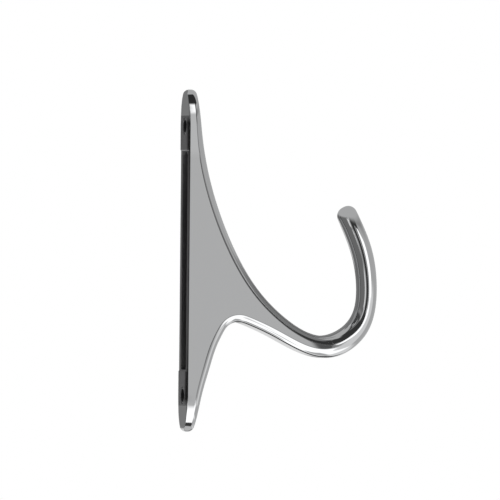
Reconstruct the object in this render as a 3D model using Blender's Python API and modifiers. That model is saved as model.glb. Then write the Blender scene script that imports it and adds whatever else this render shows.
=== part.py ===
"""Coat hook: a cored one-piece casting with two threaded bushes let into its back.

Metres, +Z up, +X out from the panel the hook is fixed to, Y across the hook.
The origin lies on the back plane, halfway between the two fixings.
"""
import math

import bmesh
import bpy
import numpy as np

MM = 0.001

# Overall sizes
FIXING_SPACING = 96.0 * MM
END_PAST_FIXING = 13.0 * MM
WIDTH = 14.0 * MM
REACH = 70.9 * MM

# Back: two pads stand proud of the rim round the core pocket
PAD_RISE = 0.3 * MM
PAD_BELOW_FIXING = 8.5 * MM
PAD_PAST_FIXING = 3.7 * MM
BACK_EDGE = 0.4 * MM

# Tails: rounding of the ends and of the front edges
END_LENGTH = 10.0 * MM
UPPER_END_RADIUS = 1.5 * MM
LOWER_END_RADIUS = 1.5 * MM
FRONT_EDGE = 3.0 * MM

# Upper tail: depth from the back plane to the front, from the end down to the web
UPPER_END_DEPTH = 3.45 * MM
UPPER_WAIST_DEPTH = 7.4 * MM
UPPER_WAIST_DROP = 14.8 * MM
WEB_DEPTH = 15.75 * MM
WEB_LEVEL = 8.1 * MM

# Lower tail: the same, from below the notch down to the end
LOWER_WAIST_DEPTH = 8.6 * MM
LOWER_WAIST_RISE = 8.9 * MM
LOWER_FIXING_DEPTH = 5.95 * MM
LOWER_END_DEPTH = 3.4 * MM

# Notch between the arm and the lower tail
NOTCH_DEPTH = 19.25 * MM
NOTCH_LEVEL = -21.8 * MM
NOTCH_RADIUS = 5.9 * MM
UNDERSIDE_OUT = 7.25 * MM
UNDERSIDE_DROP = 2.5 * MM
LOWER_ROOT_BACK = 7.85 * MM
LOWER_ROOT_DROP = 8.6 * MM

# Hook floor, where a coat's loop lies, and the saddle line's points behind it and beyond it
FLOOR_LEVEL = -26.25 * MM
CROOK_BACK = 27.1 * MM
CROOK_RISE = 17.65 * MM
ROOT_BACK = 16.0 * MM
ROOT_RISE = 6.2 * MM
BEND_OUT = 8.6 * MM
BEND_RISE = 5.45 * MM
NECK_OUT = 11.2 * MM
NECK_RISE = 16.65 * MM
UPRIGHT_OUT = 9.05 * MM
UPRIGHT_RISE = 29.65 * MM
TIP_OUT = 4.4 * MM
TIP_RISE = 41.0 * MM

# Arm thickness along the hook, root to tip
ARM_ROOT = 8.2 * MM
ARM_FLOOR = 8.05 * MM
ARM_BEND = 7.8 * MM
ARM_NECK = 7.4 * MM
ARM_UPRIGHT = 7.65 * MM
ARM_TIP = 7.4 * MM

# Arm edges: flat-sided at the root, fully round from the bend on
ROOT_EDGE = 2.8 * MM
ROUND_LAND = 0.15 * MM

# Core pocket, open at the back between the pads
SIDE_WALL = 3.0 * MM
FRONT_WALL = 3.0 * MM
POCKET_DEPTH = 13.0 * MM
POCKET_CORNER = 1.2 * MM
PAD_TO_POCKET = 0.6 * MM

# Threaded bushes, M4
BUSH_DIAMETER = 6.0 * MM
BUSH_LENGTH = 3.2 * MM
THREAD_CORE = 3.3 * MM
THREAD_MOUTH = 4.4 * MM
BUSH_CHAMFER = 0.3 * MM
BUSH_RECESS = 0.1 * MM
FIT_GAP = 0.25 * MM

# Mesh fineness
EDGE_STEPS = 4
ARM_STEPS = 5
CORE_STEPS = 4
NOTCH_STEPS = 2
TIP_TURNS = (16, 32, 48, 62, 74)
END_TURNS = (12, 20, 30, 42, 54, 66)
POCKET_STEPS = 18
BUSH_STEPS = 40
OVERCUT = 2.0 * MM

FIXING_LEVEL = FIXING_SPACING / 2
HALF_HEIGHT = FIXING_LEVEL + END_PAST_FIXING
PAD_INNER = FIXING_LEVEL - PAD_BELOW_FIXING
PAD_OUTER = FIXING_LEVEL + PAD_PAST_FIXING
FLOOR_DEPTH = REACH - ARM_NECK - NECK_OUT
END_APEX = HALF_HEIGHT + END_LENGTH * (1 - math.cos(math.radians(END_TURNS[0])))
SQUARE_OUT = np.array((1.0, 0.0))


def clear_scene():
    for obj in list(bpy.data.objects):
        bpy.data.objects.remove(obj, do_unlink=True)


def new_collection(name):
    collection = bpy.data.collections.new(name)
    bpy.context.scene.collection.children.link(collection)
    return collection


def metal(name, colour, roughness):
    material = bpy.data.materials.new(name)
    material.use_nodes = True
    shader = material.node_tree.nodes["Principled BSDF"]
    shader.inputs["Base Color"].default_value = (*colour, 1.0)
    shader.inputs["Metallic"].default_value = 1.0
    shader.inputs["Roughness"].default_value = roughness
    return material


class Line:
    """A curve of even bend through points in the XZ plane, read at a point's number or between two."""

    def __init__(self, points):
        self.points = np.array(points)
        rise = np.diff(self.points, axis=0)
        self.steps = np.linalg.norm(rise, axis=1)
        slopes = rise / self.steps[:, None]
        count = len(points)
        system = np.eye(count)
        turns = np.zeros((count, 2))
        for i in range(1, count - 1):
            before, after = self.steps[i - 1], self.steps[i]
            system[i, i - 1:i + 2] = before, 2 * (before + after), after
            turns[i] = 6 * (slopes[i] - slopes[i - 1])
        self.bend = np.linalg.solve(system, turns)

    def at(self, place):
        """The point at a place and the unit direction of travel there."""
        i = min(max(int(place), 0), len(self.steps) - 1)
        h = self.steps[i]
        b = (place - i) * h
        a = h - b
        p, q = self.points[i], self.points[i + 1]
        m, n = self.bend[i], self.bend[i + 1]
        point = (m * a**3 + n * b**3) / (6 * h) + (p / h - m * h / 6) * a + (q / h - n * h / 6) * b
        slope = (n * b**2 - m * a**2) / (2 * h) + (q - p) / h - (n - m) * h / 6
        return point, slope / np.linalg.norm(slope)

    def at_level(self, z, first, last):
        """The same where the line, falling between two places, passes level z."""
        for _ in range(40):
            middle = (first + last) / 2
            if self.at(middle)[0][1] > z:
                first = middle
            else:
                last = middle
        return self.at((first + last) / 2)


def inward(along):
    """Both edge lines are drawn with the metal on their right."""
    return np.array((along[1], -along[0]))


def from_floor(out, rise):
    return (FLOOR_DEPTH + out, FLOOR_LEVEL + rise)


def round_notch(degrees):
    """A point on the notch's arc, whose top is at 90 degrees."""
    turn = math.radians(degrees)
    x = NOTCH_DEPTH + NOTCH_RADIUS * math.cos(turn)
    z = NOTCH_LEVEL + NOTCH_RADIUS * (math.sin(turn) - 1)
    return (x, z)


# Places on the saddle line: the upper edge, from the upper end down the front and along the hook to its tip
WEB, ROOT, TIP = 2, 4, 9


def saddle_line():
    return Line((
        (UPPER_END_DEPTH, HALF_HEIGHT),
        (UPPER_WAIST_DEPTH, FIXING_LEVEL - UPPER_WAIST_DROP),
        (WEB_DEPTH, WEB_LEVEL),
        from_floor(-CROOK_BACK, CROOK_RISE),
        from_floor(-ROOT_BACK, ROOT_RISE),
        from_floor(0.0, 0.0),
        from_floor(BEND_OUT, BEND_RISE),
        from_floor(NECK_OUT, NECK_RISE),
        from_floor(UPRIGHT_OUT, UPRIGHT_RISE),
        from_floor(TIP_OUT, TIP_RISE),
    ))


# At the places from root to tip
ARM_PLACES = range(ROOT, TIP + 1)
ARM_THICKNESS = (ARM_ROOT, ARM_FLOOR, ARM_BEND, ARM_NECK, ARM_UPRIGHT, ARM_TIP)

# Along these places the flat sides draw in until the arm is as wide as it is thick
NARROWING = (4.4, 6.8)
EDGE_ROUNDING = (4.25, 5.4)

# Places on the under line: from the tip back along the underside, round the notch and down to the lower end
UNDER_ROOT, UNDER_NOTCH, UNDER_TAIL, UNDER_END = 5, 8, 11, 14


def under_line(saddle):
    arm = []
    for place, thickness in zip(reversed(ARM_PLACES), reversed(ARM_THICKNESS)):
        point, along = saddle.at(place)
        arm.append(tuple(point + inward(along) * thickness))
    notch = [(NOTCH_DEPTH + UNDERSIDE_OUT, NOTCH_LEVEL - UNDERSIDE_DROP)]
    notch += [round_notch(degrees) for degrees in (62, 90, 132, 158)]
    tail = [
        (NOTCH_DEPTH - LOWER_ROOT_BACK, NOTCH_LEVEL - LOWER_ROOT_DROP),
        (LOWER_WAIST_DEPTH, -FIXING_LEVEL + LOWER_WAIST_RISE),
        (LOWER_FIXING_DEPTH, -FIXING_LEVEL),
        (LOWER_END_DEPTH, -HALF_HEIGHT),
    ]
    return Line(arm + notch + tail)


class Casting:
    """Collects the casting's faces.

    An edge is the row of points across one rounded edge of the hook, from its near side to its far side.
    """

    def __init__(self):
        self.mesh = bmesh.new()

    def edge(self, point, inward_way, half_width, radius):
        half = []
        for i in range(EDGE_STEPS + 1):
            turn = math.pi / 2 * i / EDGE_STEPS
            x, z = point + inward_way * radius * (1 - math.sin(turn))
            half.append((x, half_width - radius + radius * math.cos(turn), z))
        near = [self.mesh.verts.new((x, -y, z)) for x, y, z in half]
        far = [self.mesh.verts.new(place) for place in half]
        return near + far[::-1]

    def strip(self, edges):
        for first, second in zip(edges, edges[1:]):
            for i in range(len(first) - 1):
                self.mesh.faces.new((first[i], first[i + 1], second[i + 1], second[i]))

    def side(self, edges):
        """One flat face on each side, inside the given edges taken in order round it."""
        for i in (0, -1):
            self.mesh.faces.new([edge[i] for edge in edges])

    def loft(self, sections):
        """Sections are pairs of facing edges."""
        self.strip([one for one, other in sections])
        self.strip([other for one, other in sections])
        for (one, other), (next_one, next_other) in zip(sections, sections[1:]):
            self.side((one, next_one, next_other, other))

    def cap(self, section):
        one, other = section
        self.mesh.faces.new(one + other[::-1])


def tail_section(casting, line, places, z, end_radius):
    """Front and back edges of a tail at level z."""
    level = abs(z)
    to_end = END_APEX - level
    half_width = WIDTH / 2
    if to_end < END_LENGTH:
        half_width *= math.sqrt(1 - (1 - to_end / END_LENGTH) ** 2)
    rounding = 0.0
    if to_end < end_radius:
        rounding = end_radius - math.sqrt(end_radius**2 - (end_radius - to_end) ** 2)
    on_pad = PAD_INNER <= level <= PAD_OUTER
    back = np.array((rounding if on_pad else rounding + PAD_RISE, z))
    front, along = line.at_level(z, *places)
    front = front - SQUARE_OUT * rounding
    front_inward = inward(along) if to_end > END_LENGTH else -SQUARE_OUT
    thickness = front[0] - back[0]
    front_radius = min(FRONT_EDGE, 0.9 * half_width, 0.6 * thickness)
    back_radius = min(BACK_EDGE, 0.6 * half_width, 0.2 * thickness)
    front_edge = casting.edge(front, front_inward, half_width, front_radius)
    back_edge = casting.edge(back, SQUARE_OUT, half_width, back_radius)
    return front_edge, back_edge


def tail_levels(start):
    """Levels of a tail's sections, from its root to its end, taken upward."""
    levels = list(np.linspace(start, PAD_INNER - PAD_RISE, 5))
    levels += [PAD_INNER, (PAD_INNER + FIXING_LEVEL) / 2, FIXING_LEVEL, PAD_OUTER, PAD_OUTER + PAD_RISE]
    levels += [END_APEX - END_LENGTH * (1 - math.cos(math.radians(turn))) for turn in reversed(END_TURNS)]
    return levels


def eased(place, between, start, end):
    """A value that passes from start to end with no kink between two places."""
    share = np.interp(place, between, (0.0, 1.0))
    return start + (end - start) * share**2 * (3 - 2 * share)


def arm_section(casting, saddle, under, place):
    """Upper and lower edges of the arm at a place between its root and its tip."""
    top, top_along = saddle.at(place)
    bottom, bottom_along = under.at(TIP - place)
    half_thickness = np.linalg.norm(top - bottom) / 2
    half_width = eased(place, NARROWING, WIDTH / 2, half_thickness)
    radius = eased(place, EDGE_ROUNDING, ROOT_EDGE, half_thickness - ROUND_LAND)
    top_edge = casting.edge(top, inward(top_along), half_width, radius)
    bottom_edge = casting.edge(bottom, inward(bottom_along), half_width, radius)
    return top_edge, bottom_edge


def tip_section(casting, saddle, under, turn):
    """Upper and lower edges of a slice of the domed tip, at an angle up the dome."""
    top, along = saddle.at(TIP)
    bottom = under.at(0)[0]
    middle = (top + bottom) / 2
    full = np.linalg.norm(top - bottom) / 2
    across = (top - bottom) / (2 * full)
    middle = middle + along * full * math.sin(math.radians(turn))
    half = full * math.cos(math.radians(turn))
    radius = half - ROUND_LAND
    top_edge = casting.edge(middle + across * half, -across, half, radius)
    bottom_edge = casting.edge(middle - across * half, across, half, radius)
    return top_edge, bottom_edge


def line_edges(casting, line, places, half_width, radii):
    """Edges along one line of the flat-sided web."""
    edges = []
    for place, radius in zip(places, radii):
        point, along = line.at(place)
        edges.append(casting.edge(point, inward(along), half_width, radius))
    return edges


def build_casting(collection, saddle, under):
    casting = Casting()

    web_level = saddle.at(WEB)[0][1]
    upper = [tail_section(casting, saddle, (0, WEB), z, UPPER_END_RADIUS) for z in tail_levels(web_level)]
    casting.loft(upper)
    casting.cap(upper[-1])

    tail_level = under.at(UNDER_TAIL)[0][1]
    places = (UNDER_NOTCH, UNDER_END)
    lower = [tail_section(casting, under, places, -z, LOWER_END_RADIUS) for z in tail_levels(-tail_level)]
    casting.loft(lower)
    casting.cap(lower[-1])

    arm_places = np.linspace(ROOT, TIP, (TIP - ROOT) * ARM_STEPS + 1)
    arm = [arm_section(casting, saddle, under, place) for place in arm_places]
    arm += [tip_section(casting, saddle, under, turn) for turn in TIP_TURNS]
    casting.loft(arm)
    casting.cap(arm[-1])

    places = np.linspace(WEB, ROOT, (ROOT - WEB) * CORE_STEPS + 1)
    radii = np.linspace(FRONT_EDGE, ROOT_EDGE, len(places))
    above = line_edges(casting, saddle, places[1:-1], WIDTH / 2, radii[1:-1])
    above = [upper[0][0]] + above + [arm[0][0]]
    places = np.linspace(UNDER_ROOT, UNDER_TAIL, (UNDER_TAIL - UNDER_ROOT) * NOTCH_STEPS + 1)
    radii = np.linspace(ROOT_EDGE, FRONT_EDGE, len(places))
    below = line_edges(casting, under, places[1:-1], WIDTH / 2, radii[1:-1])
    below = [arm[0][1]] + below + [lower[0][0]]
    behind = [lower[0][1], upper[0][1]]
    for edges in (above, below, behind):
        casting.strip(edges)
    casting.side(above + below + behind)

    bmesh.ops.recalc_face_normals(casting.mesh, faces=casting.mesh.faces)
    data = bpy.data.meshes.new("hook_casting")
    casting.mesh.to_mesh(data)
    casting.mesh.free()
    return add_object(collection, "hook_casting", data)


def add_object(collection, name, data):
    obj = bpy.data.objects.new(name, data)
    collection.objects.link(obj)
    return obj


def add_cutter(collection, name, data):
    cutter = add_object(collection, name, data)
    cutter.hide_render = True
    cutter.display_type = "WIRE"
    return cutter


def cut(target, cutter):
    modifier = target.modifiers.new(cutter.name, "BOOLEAN")
    modifier.operation = "DIFFERENCE"
    modifier.solver = "EXACT"
    modifier.object = cutter


def pocket_outline(saddle, under):
    """The pocket seen from the side: as deep as the front wall allows, up to its full depth."""
    limits = []
    for line, first, last in ((saddle, 0, ROOT), (under, UNDER_NOTCH, UNDER_END)):
        wall = []
        for place in np.linspace(first, last, 40):
            point, along = line.at(place)
            wall.append(point + inward(along) * FRONT_WALL)
        limits.append(np.array(wall)[::-1])
    outline = []
    end = PAD_INNER - PAD_TO_POCKET
    for z in np.linspace(end, -end, POCKET_STEPS):
        depths = [np.interp(z, wall[:, 1], wall[:, 0]) for wall in limits]
        outline.append((min(*depths, POCKET_DEPTH), z))
    return [(-OVERCUT, end)] + outline + [(-OVERCUT, -end)]


def pocket_cutter(collection, saddle, under):
    curve = bpy.data.curves.new("core_pocket", "CURVE")
    curve.dimensions = "2D"
    curve.fill_mode = "BOTH"
    curve.extrude = WIDTH / 2 - SIDE_WALL
    outline = pocket_outline(saddle, under)
    spline = curve.splines.new("POLY")
    spline.points.add(len(outline) - 1)
    for point, (x, z) in zip(spline.points, outline):
        point.co = (x, z, 0.0, 1.0)
    spline.use_cyclic_u = True
    shape = add_object(collection, "core_pocket_shape", curve)
    shape.rotation_euler = (math.pi / 2, 0.0, 0.0)
    bpy.context.view_layer.update()
    seen = shape.evaluated_get(bpy.context.evaluated_depsgraph_get())
    data = bpy.data.meshes.new_from_object(seen)
    data.transform(shape.matrix_world)
    bpy.data.objects.remove(shape, do_unlink=True)
    weld(data)
    mark_corners(data)
    cutter = add_cutter(collection, "core_pocket", data)
    bevel = cutter.modifiers.new("corners", "BEVEL")
    bevel.width = POCKET_CORNER
    bevel.segments = 2
    bevel.limit_method = "WEIGHT"
    return cutter


def mark_corners(data):
    """The pocket's corners are where its side walls meet its floor and its ends."""
    weights = data.attributes.new("bevel_weight_edge", "FLOAT", "EDGE")
    for edge in data.edges:
        ends = [data.vertices[i].co for i in edge.vertices]
        along_wall = abs(ends[0].y - ends[1].y) < FIT_GAP
        in_metal = max(end.x for end in ends) > 0
        weights.data[edge.index].value = 1.0 if along_wall and in_metal else 0.0


def weld(data):
    mesh = bmesh.new()
    mesh.from_mesh(data)
    bmesh.ops.remove_doubles(mesh, verts=mesh.verts, dist=0.00001)
    bmesh.ops.dissolve_limit(mesh, angle_limit=math.radians(0.5), verts=mesh.verts, edges=mesh.edges)
    bmesh.ops.recalc_face_normals(mesh, faces=mesh.faces)
    mesh.to_mesh(data)
    mesh.free()


def turned(collection, name, profile, level):
    """A closed profile of (depth, radius) points turned round a fixing's axis."""
    mesh = bmesh.new()
    verts = [mesh.verts.new((x, 0.0, radius)) for x, radius in profile]
    for vert, following in zip(verts, verts[1:] + verts[:1]):
        mesh.edges.new((vert, following))
    data = bpy.data.meshes.new(name)
    mesh.to_mesh(data)
    mesh.free()
    obj = add_object(collection, name, data)
    obj.location = (0.0, 0.0, level)
    screw = obj.modifiers.new("turning", "SCREW")
    screw.axis = "X"
    screw.steps = BUSH_STEPS
    screw.render_steps = BUSH_STEPS
    screw.use_merge_vertices = True
    screw.merge_threshold = 0.00001
    screw.use_normal_calculate = True
    screw.use_smooth_shade = False
    return obj


def bush(collection, name, level):
    front = BUSH_RECESS
    back = BUSH_RECESS + BUSH_LENGTH
    outer = BUSH_DIAMETER / 2
    core = THREAD_CORE / 2
    mouth = THREAD_MOUTH / 2
    return turned(collection, name, (
        (front, mouth),
        (front, outer - BUSH_CHAMFER),
        (front + BUSH_CHAMFER, outer),
        (back - BUSH_CHAMFER, outer),
        (back, outer - BUSH_CHAMFER),
        (back, core),
        (front + mouth - core, core),
    ), level)


def bore_cutter(collection, name, level):
    depth = BUSH_RECESS + BUSH_LENGTH + FIT_GAP
    radius = BUSH_DIAMETER / 2 + FIT_GAP
    mesh = bmesh.new()
    bmesh.ops.create_cone(
        mesh, cap_ends=True, segments=BUSH_STEPS, radius1=radius, radius2=radius, depth=depth + OVERCUT
    )
    data = bpy.data.meshes.new(name)
    mesh.to_mesh(data)
    mesh.free()
    cutter = add_cutter(collection, name, data)
    cutter.rotation_euler = (0.0, math.pi / 2, 0.0)
    cutter.location = ((depth - OVERCUT) / 2, 0.0, level)
    return cutter


def main():
    clear_scene()
    parts = new_collection("coat_hook")
    cutters = new_collection("cutters")
    chrome = metal("polished_chrome", (0.62, 0.62, 0.63), 0.08)
    steel = metal("plated_steel", (0.42, 0.42, 0.43), 0.35)

    saddle = saddle_line()
    under = under_line(saddle)
    casting = build_casting(parts, saddle, under)
    casting.data.materials.append(chrome)
    cut(casting, pocket_cutter(cutters, saddle, under))
    for name, level in (("upper", FIXING_LEVEL), ("lower", -FIXING_LEVEL)):
        cut(casting, bore_cutter(cutters, name + "_bore", level))
        bush(parts, name + "_threaded_bush", level).data.materials.append(steel)
    for polygon in casting.data.polygons:
        polygon.use_smooth = True
    casting.data.set_sharp_from_angle(angle=math.radians(35))


main()
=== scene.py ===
"""Coat hook: the finished look of the chromed casting and its two threaded bushes.

Metres, +Z up, +X out from the panel, Y across the hook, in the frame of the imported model.
"""
import math
from typing import NamedTuple

import bmesh
import bpy
import numpy as np
from bpy.props import FloatProperty, FloatVectorProperty, IntProperty, PointerProperty
from mathutils import Matrix, Vector
from mathutils.kdtree import KDTree


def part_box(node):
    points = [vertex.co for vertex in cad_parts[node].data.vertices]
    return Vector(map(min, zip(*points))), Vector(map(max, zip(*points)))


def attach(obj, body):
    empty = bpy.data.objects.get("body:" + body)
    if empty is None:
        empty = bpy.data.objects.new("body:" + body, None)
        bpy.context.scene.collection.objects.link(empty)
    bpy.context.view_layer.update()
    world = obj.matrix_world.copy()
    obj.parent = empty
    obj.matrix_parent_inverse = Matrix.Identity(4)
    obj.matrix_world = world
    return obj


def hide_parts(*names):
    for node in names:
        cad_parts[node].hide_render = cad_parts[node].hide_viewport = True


bl_info = {
    "name": "Coat Hook",
    "version": (1, 0, 0),
    "blender": (4, 5, 0),
    "location": "View3D > Sidebar > Coat Hook",
    "description": "Models a chromed one-piece coat hook with two threaded bushes in its back",
    "category": "Object",
}

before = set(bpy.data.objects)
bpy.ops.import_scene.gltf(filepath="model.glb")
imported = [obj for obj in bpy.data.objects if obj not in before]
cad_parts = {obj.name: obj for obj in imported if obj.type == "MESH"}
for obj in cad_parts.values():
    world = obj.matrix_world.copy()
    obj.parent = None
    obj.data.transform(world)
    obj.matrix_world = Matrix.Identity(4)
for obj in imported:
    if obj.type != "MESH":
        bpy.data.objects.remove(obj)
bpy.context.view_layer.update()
LOW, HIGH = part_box("hook_casting")
UPPER_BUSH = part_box("upper_threaded_bush")
LOWER_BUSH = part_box("lower_threaded_bush")

MM = 0.001

# Straight out from the panel, as X and Z
SQUARE_OUT = np.array((1.0, 0.0))

# Outline of the casting seen from the side, as in the part's own source
HALF_HEIGHT = HIGH.z
FIXING_LEVEL = (UPPER_BUSH[0].z + UPPER_BUSH[1].z) / 2
PAD_INNER = FIXING_LEVEL - 8.5 * MM
PAD_OUTER = FIXING_LEVEL + 3.7 * MM
PAD_RISE = 0.3 * MM
PAD_TO_POCKET = 0.6 * MM
UPPER_END_DEPTH = 3.45 * MM
UPPER_WAIST_DEPTH, UPPER_WAIST_DROP = 7.4 * MM, 14.8 * MM
WEB_DEPTH, WEB_LEVEL = 15.75 * MM, 8.1 * MM
LOWER_WAIST_DEPTH, LOWER_WAIST_RISE = 8.6 * MM, 8.9 * MM
LOWER_FIXING_DEPTH = 5.95 * MM
LOWER_END_DEPTH = 3.4 * MM
NOTCH_DEPTH = 19.25 * MM
NOTCH_LEVEL = -21.8 * MM
NOTCH_RADIUS = 5.9 * MM
NOTCH_TURNS = (62, 90, 132, 158)
UNDERSIDE_OUT, UNDERSIDE_DROP = 7.25 * MM, 2.5 * MM
LOWER_ROOT_BACK, LOWER_ROOT_DROP = 7.85 * MM, 8.6 * MM
CROOK_BACK, CROOK_RISE = 27.1 * MM, 17.65 * MM
ROOT_BACK, ROOT_RISE = 16.0 * MM, 6.2 * MM
BEND_OUT, BEND_RISE = 8.6 * MM, 5.45 * MM
NECK_OUT, NECK_RISE = 11.2 * MM, 16.65 * MM
UPRIGHT_OUT, UPRIGHT_RISE = 9.05 * MM, 29.65 * MM
TIP_OUT, TIP_RISE = 4.4 * MM, 41.0 * MM
ARM_NECK = 7.4 * MM
ARM_THICKNESS = (8.2 * MM, 8.05 * MM, 7.8 * MM, ARM_NECK, 7.65 * MM, 7.4 * MM)
FLOOR_DEPTH = HIGH.x - ARM_NECK - NECK_OUT
FLOOR_LEVEL = -26.25 * MM

# Places along the outline's two lines
WEB, ROOT, TIP = 2, 4, 9
UNDER_ROOT, UNDER_NOTCH, UNDER_TAIL, UNDER_END = 5, 8, 11, 14
NARROWING = (4.4, 6.8)
EDGE_ROUNDING = (4.25, 5.4)

# How the ends, the tip and the edges are rounded
ROUND_LAND = 0.02 * MM
TIP_BLUNTNESS = 2.3
TIP_FULLNESS = 2.2
END_FULLNESS = 2.4
END_RADIUS = 1.5 * MM
END_SWELL = 0.25 * MM
SWELL_LENGTH = 24.0 * MM
EDGE_CHANGE = 4.0 * MM

# End lengths within which the front edge turns square to the back
SQUARE_REACH = 1.6

# Most that an edge's rounding takes of the half width and of the thickness
FRONT_SHARES = (0.98, 0.5)
BACK_SHARES = (0.6, 0.42)

# How sharply a least size passes from one limit to the next
BLEND_POWER = 10

# Rings and facets of the meshes, and what helps to draw and cut them
END_TURNS = (90, 84, 78, 72, 66, 60, 54, 48, 42, 36, 30, 25, 20, 16, 12, 9, 6, 4, 2)
CORNER_TURNS = (0, 15, 30, 45, 60, 75, 90)
TIP_TURNS = (6, 12, 18, 24, 30, 36, 42, 48, 54, 60, 66, 71, 75.5, 79.5, 83, 86, 88, 89.3)
TAIL_RINGS = 30
PAD_RINGS = 6
ARM_RINGS = 121
ABOVE_RINGS = 49
BELOW_RINGS = 97
POCKET_RINGS = 40
POCKET_CORNER_STEPS = 8
WALL_POINTS = 80
DRILL_STEPS = 72
HALVINGS = 50
START_RADIUS = 5.0 * MM
MERGE_DISTANCE = 0.0005 * MM
FLAT_TOLERANCE = 0.001 * MM
OVERCUT = 2.0 * MM

# Which faces get a second material, and where the shading stays sharp, in degrees
BACK_FACING = -0.5
BACK_TOLERANCE = 0.05 * MM
BORE_FACING = -0.1
CASTING_SHARP = 32
BUSH_SHARP = 28

# Steepness of the thread's flanks, where more than 1 leaves flat crests between the grooves
FLANK_STEEPNESS = 1.3

# Surroundings that the polish reflects, and the rest of the stage
ROOM_RADIUS = 1.5
REFLECTOR_STEP = 0.02
REFLECTOR_GRID = (72, 48)
FLAG_RADIUS = 1.0
FLOOR_SIDES = 96
FLOOR_ROUGHNESS = 0.7
SENSOR_WIDTH = 36.0
CLIP_DISTANCES = 10

# The lamp is above the hook, to the left of the camera
LAMP_PLACE = (-0.25, -0.45, 0.9)
LAMP_SIZE = 0.15


class CastingSizes(bpy.types.PropertyGroup):
    """Sizes of the chromed casting."""

    front_edge: FloatProperty(
        name="Front Edge",
        description="Rounding of the front edges of the two tails",
        default=3.0 * MM,
        min=0.5 * MM,
        max=4.0 * MM,
        unit="LENGTH",
    )
    root_edge: FloatProperty(
        name="Root Edge",
        description="Rounding of the edges where the arm leaves the web",
        default=2.8 * MM,
        min=0.5 * MM,
        max=3.8 * MM,
        unit="LENGTH",
    )
    back_edge: FloatProperty(
        name="Back Edge",
        description="Rounding of the edges round the back between the pads",
        default=0.25 * MM,
        min=0.1 * MM,
        max=1.0 * MM,
        unit="LENGTH",
    )
    end_back_edge: FloatProperty(
        name="End Back Edge",
        description="Rounding of the back's edges at the ends, past the pads",
        default=0.3 * MM,
        min=0.1 * MM,
        max=2.5 * MM,
        unit="LENGTH",
    )
    upper_end_length: FloatProperty(
        name="Upper End Length",
        description="Length over which the upper tail's sides draw in to its round end",
        default=14.0 * MM,
        min=8.0 * MM,
        max=20.0 * MM,
        unit="LENGTH",
    )
    lower_end_length: FloatProperty(
        name="Lower End Length",
        description="Length over which the lower tail's sides draw in to its round end",
        default=14.0 * MM,
        min=8.0 * MM,
        max=20.0 * MM,
        unit="LENGTH",
    )
    tip_length: FloatProperty(
        name="Tip Length",
        description="Length over which the arm's sides draw in to its round tip",
        default=9.0 * MM,
        min=3.7 * MM,
        max=12.0 * MM,
        unit="LENGTH",
    )
    side_wall: FloatProperty(
        name="Side Wall",
        description="Thickness of the wall on each side of the core pocket",
        default=3.0 * MM,
        min=1.5 * MM,
        max=5.0 * MM,
        unit="LENGTH",
    )
    pocket_depth: FloatProperty(
        name="Pocket Depth",
        description="Greatest depth of the core pocket in the back",
        default=13.0 * MM,
        min=4.0 * MM,
        max=20.0 * MM,
        unit="LENGTH",
    )
    front_wall: FloatProperty(
        name="Front Wall",
        description="Thickness of the wall in front of the core pocket",
        default=3.0 * MM,
        min=1.5 * MM,
        max=5.0 * MM,
        unit="LENGTH",
    )
    pocket_corner: FloatProperty(
        name="Pocket Corner",
        description="Rounding of the core pocket's inner corners",
        default=1.2 * MM,
        min=0.3 * MM,
        max=2.0 * MM,
        unit="LENGTH",
    )
    bore_clearance: FloatProperty(
        name="Bore Clearance",
        description="Gap between a bush and its bore, all round",
        default=0.05 * MM,
        min=0.01 * MM,
        max=0.25 * MM,
        unit="LENGTH",
    )
    edge_steps: IntProperty(
        name="Edge Steps",
        description="Facets across each quarter round",
        default=14,
        min=4,
        max=24,
    )
    chrome_tint: FloatVectorProperty(
        name="Chrome",
        description="Colour of the polished plating",
        default=(0.60, 0.605, 0.61),
        min=0.0,
        max=1.0,
        subtype="COLOR",
    )
    core_tint: FloatVectorProperty(
        name="Unpolished Back",
        description="Colour of the unpolished plating in the pocket and on the pads",
        default=(0.30, 0.30, 0.305),
        min=0.0,
        max=1.0,
        subtype="COLOR",
    )


class BushSizes(bpy.types.PropertyGroup):
    """Sizes of the threaded bushes."""

    thread_core: FloatProperty(
        name="Thread Core",
        description="Diameter over the crests of the thread in the bush",
        default=3.3 * MM,
        min=2.0 * MM,
        max=4.2 * MM,
        unit="LENGTH",
    )
    thread_mouth: FloatProperty(
        name="Thread Mouth",
        description="Diameter of the cone at the mouth of the thread",
        default=5.0 * MM,
        min=3.4 * MM,
        max=5.2 * MM,
        unit="LENGTH",
    )
    thread_pitch: FloatProperty(
        name="Thread Pitch",
        description="Advance of the thread in one turn",
        default=0.7 * MM,
        min=0.3 * MM,
        max=1.0 * MM,
        unit="LENGTH",
    )
    thread_depth: FloatProperty(
        name="Thread Depth",
        description="Depth of the thread's groove",
        default=0.35 * MM,
        min=0.1 * MM,
        max=0.5 * MM,
        unit="LENGTH",
    )
    chamfer: FloatProperty(
        name="Chamfer",
        description="Chamfer on the bush's outer edges",
        default=0.3 * MM,
        min=0.1 * MM,
        max=0.6 * MM,
        unit="LENGTH",
    )
    turn_steps: IntProperty(
        name="Turn Steps",
        description="Facets round the bush",
        default=72,
        min=24,
        max=128,
    )
    rings_per_pitch: IntProperty(
        name="Rings per Pitch",
        description="Rings drawn in one advance of the thread",
        default=10,
        min=4,
        max=16,
    )
    # Painted shade: the thread is painted near black to stand in for the shade deep in the bore, though its
    # steel is no darker than the rest of the bush
    bore_shade_tint: FloatVectorProperty(
        name="Painted Bore Shade",
        description="Colour of the dark, oiled thread in the bushes",
        default=(0.03, 0.03, 0.031),
        min=0.0,
        max=1.0,
        subtype="COLOR",
    )
    steel_tint: FloatVectorProperty(
        name="Turned Steel",
        description="Colour of the bushes' plated steel",
        default=(0.42, 0.42, 0.43),
        min=0.0,
        max=1.0,
        subtype="COLOR",
    )


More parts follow.
